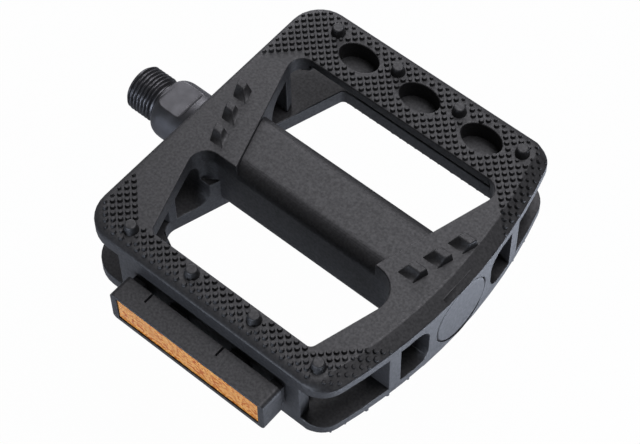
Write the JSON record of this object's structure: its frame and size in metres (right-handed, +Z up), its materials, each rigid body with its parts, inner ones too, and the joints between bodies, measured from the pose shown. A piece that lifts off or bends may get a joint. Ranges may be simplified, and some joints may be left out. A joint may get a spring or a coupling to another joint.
{
  "type": "bicycle pedal",
  "caption": "Flat moulded platform pedal with pin and dot treads, slanted windows and a clip-on amber reflector, spinning on a threaded steel spindle with loose-ball bearings.",
  "frame": {"origin": "on the axle, in the shoulder of the spindle that seats on the crank", "axes": "+X along the axle from the crank to the outer end, +Y across the pedal away from the reflector, +Z up from the axle to the upper tread"},
  "size_m": [0.1198, 0.1108, 0.0318],
  "materials": {
    "black_plastic": "fine-grained moulded black",
    "dark_plastic": "matt black",
    "black_steel": "black oxide",
    "bearing_steel": "ground",
    "seal_rubber": "matt",
    "amber_lens": "clear amber prisms"
  },
  "bodies": {
    "spindle": {"spindle": "black_steel", "outer_cone": "bearing_steel", "lock_washer": "bearing_steel", "lock_nut": "bearing_steel"},
    "platform": {"pedal_body": "black_plastic", "end_cap": "black_plastic", "inner_seal": "seal_rubber", "inner_cup": "bearing_steel", "outer_cup": "bearing_steel", "reflector_housing": "black_plastic", "reflector_lens": "amber_lens", "reflector_back": "dark_plastic"},
    "inner_ball_ring": {"inner_balls": "bearing_steel"},
    "outer_ball_ring": {"outer_balls": "bearing_steel"}
  },
  "joints": [
    {"name": "platform_spin", "type": "hinge", "parent": "spindle", "child": "platform", "pos_m": [0, 0, 0], "axis": [1, 0, 0], "continuous": true},
    {"name": "inner_balls_roll", "type": "hinge", "parent": "spindle", "child": "inner_ball_ring", "pos_m": [0, 0, 0], "axis": [1, 0, 0], "continuous": true},
    {"name": "outer_balls_roll", "type": "hinge", "parent": "spindle", "child": "outer_ball_ring", "pos_m": [0, 0, 0], "axis": [1, 0, 0], "continuous": true}
  ],
  "couplings": [
    {"joint": "inner_balls_roll", "follows": "platform_spin", "ratio": 0.56377},
    {"joint": "outer_balls_roll", "follows": "platform_spin", "ratio": 0.57015}
  ]
}
